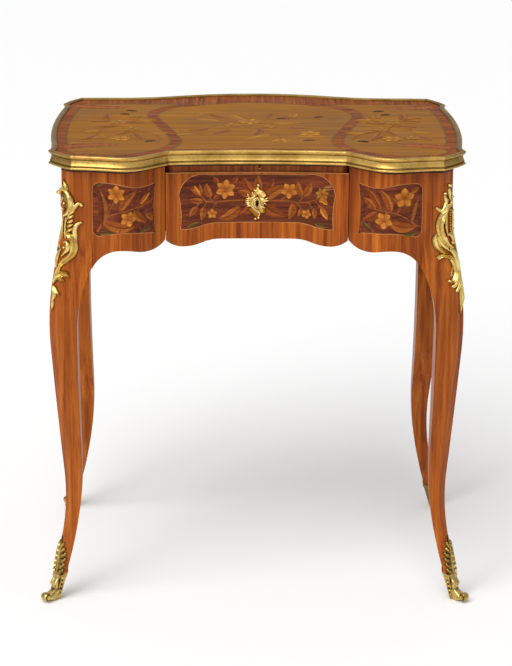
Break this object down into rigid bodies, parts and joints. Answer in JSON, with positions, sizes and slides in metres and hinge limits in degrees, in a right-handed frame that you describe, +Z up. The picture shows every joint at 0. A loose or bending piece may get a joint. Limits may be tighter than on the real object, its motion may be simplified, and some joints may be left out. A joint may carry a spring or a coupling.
{
  "type": "writing table",
  "caption": "Small kidney-fronted writing table on cabriole legs with a marquetry top, gilt mounts and a sliding frieze drawer with lock.",
  "frame": {"origin": "on the floor under the middle of the table's box", "axes": "+X to the right seen from the front, +Y towards the back, +Z up; the drawer opens towards -Y"},
  "size_m": [0.6902, 0.473, 0.735],
  "materials": {
    "tulipwood": "french polish, straight vertical stripes",
    "satinwood": "french polish, golden field",
    "border_wood": "french polish, cross-banded",
    "rosewood": "french polish, cross-banded",
    "amaranth": "french polish, dark ground",
    "oak": "bare planed wood",
    "gilt_bronze": "chased and gilt, partly burnished",
    "brass": "polished",
    "steel": "filed"
  },
  "bodies": {
    "table": {"apron_back": "tulipwood", "apron_front_left": "tulipwood", "apron_front_right": "tulipwood", "apron_side_left": "tulipwood", "apron_side_right": "tulipwood", "drawer_rail": "tulipwood", "drawer_stops": "oak", "glue_blocks": "oak", "kicker_left": "oak", "kicker_right": "oak", "leg_back_left": "tulipwood", "leg_back_right": "tulipwood", "leg_front_left": "tulipwood", "leg_front_right": "tulipwood", "moulding_back": "gilt_bronze", "moulding_front_centre": "gilt_bronze", "moulding_front_left": "gilt_bronze", "moulding_front_right": "gilt_bronze", "moulding_side_left": "gilt_bronze", "moulding_side_right": "gilt_bronze", "mount_back_left": "gilt_bronze", "mount_back_right": "gilt_bronze", "mount_front_left": "gilt_bronze", "mount_front_right": "gilt_bronze", "panel_front_left": "amaranth", "panel_front_right": "amaranth", "partition_left": "oak", "partition_right": "oak", "runner_left": "oak", "runner_right": "oak", "sabot_back_left": "gilt_bronze", "sabot_back_right": "gilt_bronze", "sabot_front_left": "gilt_bronze", "sabot_front_right": "gilt_bronze", "strike_plate": "brass", "top_border": "border_wood", "top_centre_field": "satinwood", "top_core": "oak", "top_left_band": "rosewood", "top_left_field": "satinwood", "top_right_band": "rosewood", "top_right_field": "satinwood"},
    "drawer": {"drawer_front": "tulipwood", "drawer_panel": "amaranth", "drawer_side_left": "oak", "drawer_side_right": "oak", "drawer_back": "oak", "drawer_bottom": "oak", "escutcheon": "gilt_bronze", "lock_case": "brass"},
    "lock_bolt": {"lock_bolt": "steel"}
  },
  "joints": [
    {"name": "drawer_slide", "type": "slide", "parent": "table", "child": "drawer", "axis": [0, -1, 0], "range_m": [0, 0.26]},
    {"name": "lock_bolt_slide", "type": "slide", "parent": "drawer", "child": "lock_bolt", "axis": [0, 0, 1], "range_m": [0, 0.008]}
  ]
}
